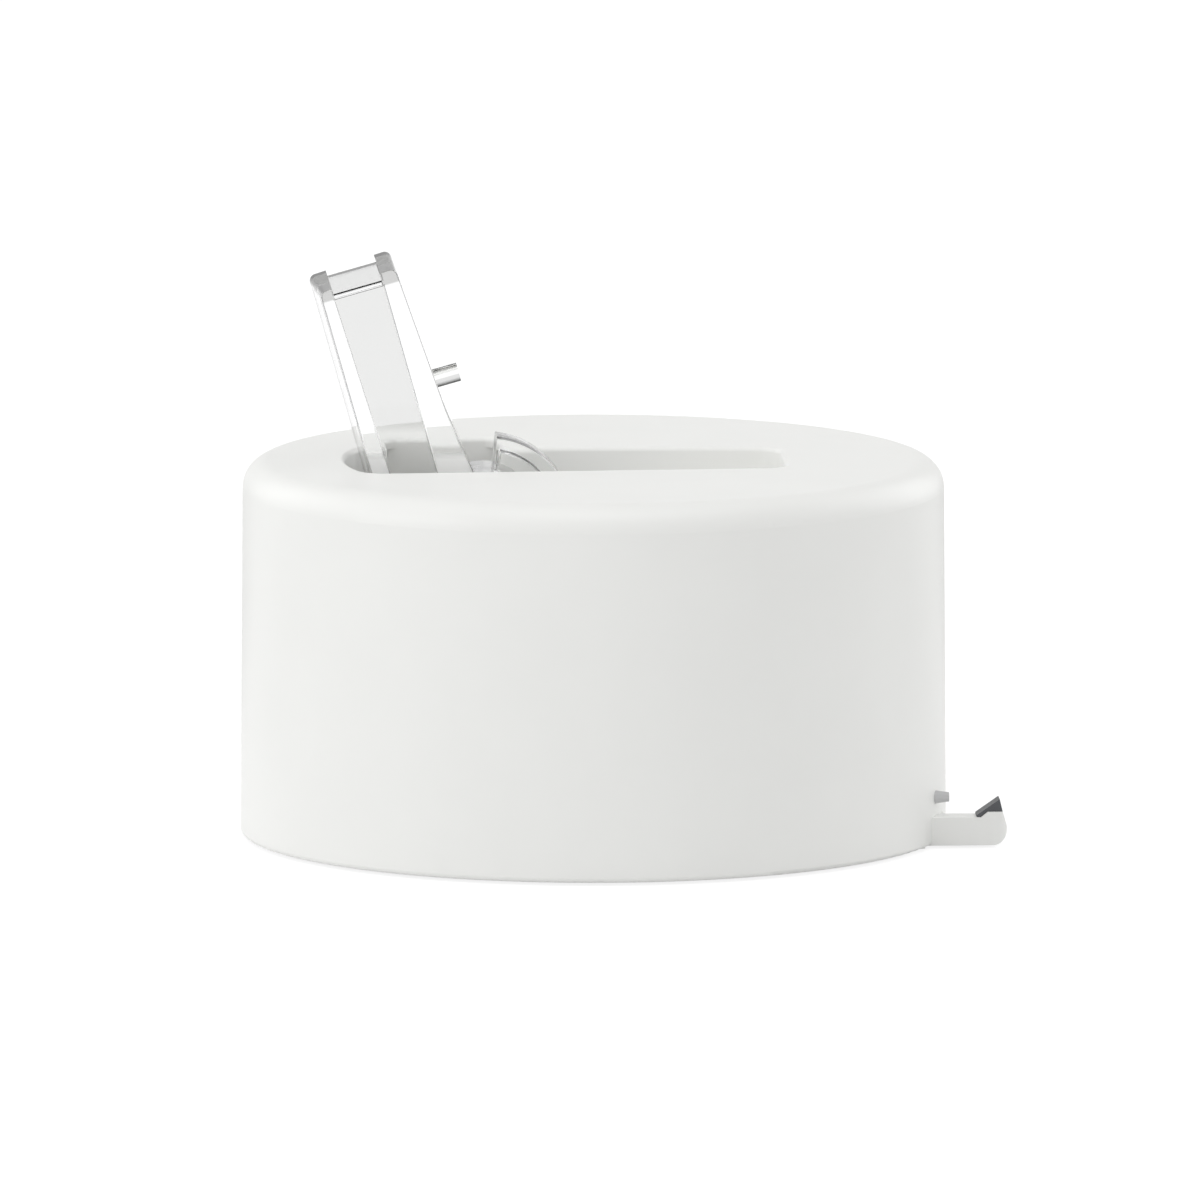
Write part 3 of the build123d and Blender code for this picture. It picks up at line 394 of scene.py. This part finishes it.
materials = {
    "white_plastic": moulded("white_plastic", colour=(0.885, 0.888, 0.868), roughness=0.42),
    "clear_plastic": clear_moulded("clear_plastic"),
    "dark_steel": drawn_steel("dark_steel", colour=(0.11, 0.113, 0.12), roughness=0.38, stretch=(1, 8, 1)),
    "steel": drawn_steel("steel", colour=(0.62, 0.63, 0.65), roughness=0.3, stretch=(1, 0.15, 1)),
    "frame_plastic": moulded("frame_plastic", colour=(0.82, 0.82, 0.79), roughness=0.5),
    "grey_plastic": moulded("grey_plastic", colour=(0.55, 0.55, 0.555), roughness=0.35),
    "gear_plastic": moulded("gear_plastic", colour=(0.86, 0.85, 0.80), roughness=0.38, grain=gear_grain),
    "rubber": soft_rubber("rubber", colour=(0.05, 0.05, 0.052)),
    "felt": pressed_felt("felt", colour=(0.42, 0.42, 0.41)),
    "floss": waxed_floss("floss", colour=(0.9, 0.91, 0.88)),
}
for subpart in frame["record"]["subparts"]:
    mesh = frame["nodes"][subpart["node"]].data
    mesh.materials.clear()
    mesh.materials.append(materials[subpart["material_slot"]])


# The clear pieces throw no shade

for name in ("feed_lever", "sector_gear"):
    frame["nodes"][name].visible_shadow = False


# The ring's edges are rounded

ring = frame["nodes"]["sector_gear"]
joined = ring.modifiers.new("joined", "WELD")
joined.merge_threshold = weld_reach
rounded = ring.modifiers.new("rounded", "BEVEL")
rounded.width = rim_edge
rounded.segments = rim_edge_steps
rounded.limit_method = "ANGLE"
rounded.angle_limit = math.radians(rim_edge_angle)
rounded.use_clamp_overlap = True


# Floss winding: rows of turns side by side on the spool, each a low ridge

def wound_ring(name, low, high, inner, outer, middle):
    """A closed ring whose outside has one rounded ridge per turn of floss."""
    rows = max(1, round((high - low) / floss_width))
    profile = [(inner, low)]
    for step in range(rows * floss_row_steps + 1):
        across = step / floss_row_steps
        ridge = abs(math.sin(math.pi * across))
        profile.append((outer - floss_width / 2 * (1 - ridge), low + (high - low) * across / rows))
    profile.append((inner, high))
    work = bmesh.new()
    sections = []
    for turn in range(floss_turn_steps):
        angle = 2 * math.pi * turn / floss_turn_steps
        section = []
        for radius, height in profile:
            section.append(work.verts.new((
                middle.x + radius * math.cos(angle),
                middle.y + radius * math.sin(angle),
                height,
            )))
        sections.append(section)
    for turn in range(floss_turn_steps):
        here = sections[turn]
        there = sections[(turn + 1) % floss_turn_steps]
        for step in range(len(profile)):
            after = (step + 1) % len(profile)
            work.faces.new((here[step], there[step], there[after], here[after]))
    bmesh.ops.recalc_face_normals(work, faces=work.faces)
    for face in work.faces:
        face.smooth = True
    mesh = bpy.data.meshes.new(name)
    work.to_mesh(mesh)
    work.free()
    wound = bpy.data.objects.new(name, mesh)
    bpy.context.scene.collection.objects.link(wound)
    return wound


winding_low, winding_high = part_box("floss_winding")
winding_middle = (Vector(winding_low) + Vector(winding_high)) / 2
winding_outer = (winding_high[0] - winding_low[0]) / 2
winding = wound_ring(
    "wound_floss", winding_low[2], winding_high[2], winding_outer * floss_core, winding_outer, winding_middle
)
winding.data.materials.append(materials["floss"])
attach(winding, "reel")
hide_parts("floss_winding")


# Pinch spring: a copy of its coil rides on the housing in place of the spring

coil = bpy.data.objects.new("pinch_coil", frame["nodes"]["pinch_spring"].data.copy())
bpy.context.scene.collection.objects.link(coil)
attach(coil, "housing")
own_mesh(coil)
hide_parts("pinch_spring")


# Floor and sky

def seen_directly(tree):
    """1 for what the camera sees, also in mirrors and through clear plastic, and 0 for the object's light."""
    path = tree.nodes.new("ShaderNodeLightPath")
    mirrored = calculate(tree, "MAXIMUM", path.outputs["Is Camera Ray"], path.outputs["Is Glossy Ray"])
    seen = calculate(tree, "MAXIMUM", mirrored, path.outputs["Is Transmission Ray"])
    straight = calculate(tree, "LESS_THAN", path.outputs["Diffuse Depth"], no_bounce)
    return calculate(tree, "MULTIPLY", seen, straight)


def finish_surface(tree, output, lighting, seen):
    """One shader for the object's light and another for what is seen."""
    choose = tree.nodes.new("ShaderNodeMixShader")
    tree.links.new(seen_directly(tree), choose.inputs["Fac"])
    tree.links.new(lighting, choose.inputs[1])
    tree.links.new(seen, choose.inputs[2])
    tree.links.new(choose.outputs["Shader"], output.inputs["Surface"])


def flags(tree, x, y):
    """Two values: 0 to 1 for how much a direction looks at the dark flags, and the square of its length."""
    product = calculate(tree, "ABSOLUTE", calculate(tree, "MULTIPLY", x, y))
    square = calculate(tree, "ADD", calculate(tree, "MULTIPLY", x, x), calculate(tree, "MULTIPLY", y, y))
    corner = calculate(tree, "DIVIDE", product, square)
    edge = remap(tree, corner, flag_from, flag_to)
    gap = remap(tree, corner, flag_gap_to, flag_gap_from)
    behind = calculate(tree, "GREATER_THAN", y, 0.0)
    strip = calculate(tree, "MULTIPLY", edge, gap)
    return calculate(tree, "MULTIPLY", strip, behind), square


def light_left(tree, dark, camera_ray):
    """The share of light that the flags leave; the camera itself doesn't see them."""
    unseen = calculate(tree, "SUBTRACT", 1.0, camera_ray)
    lost = calculate(tree, "MULTIPLY", calculate(tree, "MULTIPLY", dark, unseen), 1 - sky_dark)
    return calculate(tree, "SUBTRACT", 1.0, lost)


def floor_material():
    """A white floor that keeps a pale shadow."""
    material = bpy.data.materials.new("floor")
    material.use_nodes = True
    tree = material.node_tree
    tree.nodes.clear()
    output = tree.nodes.new("ShaderNodeOutputMaterial")
    place = tree.nodes.new("ShaderNodeTexCoord")
    path = tree.nodes.new("ShaderNodeLightPath")
    x, y, _ = split(tree, place.outputs["Object"])
    dark, square = flags(tree, x, y)
    away = remap(tree, calculate(tree, "SQRT", square), flag_near, flag_far)
    left = light_left(tree, calculate(tree, "MULTIPLY", dark, away), path.outputs["Is Camera Ray"])
    glow = tree.nodes.new("ShaderNodeEmission")
    tree.links.new(calculate(tree, "MULTIPLY", left, floor_glow), glow.inputs["Strength"])
    shadowed = tree.nodes.new("ShaderNodeBsdfDiffuse")
    shadowed.inputs["Color"].default_value = (floor_white, floor_white, floor_white, 1)
    both = tree.nodes.new("ShaderNodeAddShader")
    tree.links.new(glow.outputs["Emission"], both.inputs[0])
    tree.links.new(shadowed.outputs["BSDF"], both.inputs[1])
    bounce = tree.nodes.new("ShaderNodeBsdfDiffuse")
    bounce.inputs["Color"].default_value = (floor_bounce, floor_bounce, floor_bounce, 1)
    finish_surface(tree, output, bounce.outputs["BSDF"], both.outputs["Shader"])
    return material


def studio_sky():
    """A white sky that looks darker towards the zenith in mirrors and clear plastic."""
    sky = bpy.data.worlds.new("studio")
    sky.use_nodes = True
    tree = sky.node_tree
    tree.nodes.clear()
    output = tree.nodes.new("ShaderNodeOutputWorld")
    light = tree.nodes.new("ShaderNodeBackground")
    light.inputs["Strength"].default_value = ambient
    seen = tree.nodes.new("ShaderNodeBackground")
    direction = tree.nodes.new("ShaderNodeTexCoord")
    path = tree.nodes.new("ShaderNodeLightPath")
    x, y, up = split(tree, direction.outputs["Generated"])
    dark, _ = flags(tree, x, y)
    height = remap(tree, up, sky_white_to, sky_dark_from, 1.0, sky_dark)
    bright = calculate(tree, "MULTIPLY", height, light_left(tree, dark, path.outputs["Is Camera Ray"]))
    plain = calculate(tree, "MAXIMUM", bright, path.outputs["Is Camera Ray"])
    tree.links.new(plain, seen.inputs["Strength"])
    finish_surface(tree, output, light.outputs["Background"], seen.outputs["Background"])
    return sky


floor_mesh = bpy.data.meshes.new("floor")
reach = floor_size / 2
floor_mesh.from_pydata(
    [(-reach, -reach, 0), (reach, -reach, 0), (reach, reach, 0), (-reach, reach, 0)], [], [(0, 1, 2, 3)]
)
floor_mesh.materials.append(floor_material())
floor = bpy.data.objects.new("floor", floor_mesh)
bpy.context.scene.collection.objects.link(floor)

bpy.context.scene.world = studio_sky()


# Lamps and camera

def soft_lamp(name, place, size, power):
    """A square soft box at place that faces the object."""
    lamp = bpy.data.lights.new(name, "AREA")
    lamp.size = size
    lamp.energy = power
    holder = bpy.data.objects.new(name, lamp)
    holder.location = place
    holder.rotation_euler = (view_target - Vector(place)).to_track_quat("-Z", "Y").to_euler()
    bpy.context.scene.collection.objects.link(holder)


for lamp_name, lamp_place, lamp_size, lamp_power in lamps:
    soft_lamp(lamp_name, lamp_place, lamp_size, lamp_power)

azimuth = math.radians(view_azimuth)
elevation = math.radians(view_elevation)
view_back = Vector((
    math.sin(azimuth) * math.cos(elevation),
    -math.cos(azimuth) * math.cos(elevation),
    math.sin(elevation),
))
lens = bpy.data.cameras.new("camera")
lens.sensor_width = sensor_width
lens.lens = sensor_width * view_distance / view_width
lens.clip_end = view_reach
camera = bpy.data.objects.new("camera", lens)
camera.location = view_target + view_back * view_distance
camera.rotation_euler = (-view_back).to_track_quat("-Z", "Y").to_euler()
bpy.context.scene.collection.objects.link(camera)
bpy.context.scene.camera = camera

bpy.context.scene.view_settings.view_transform = "Standard"
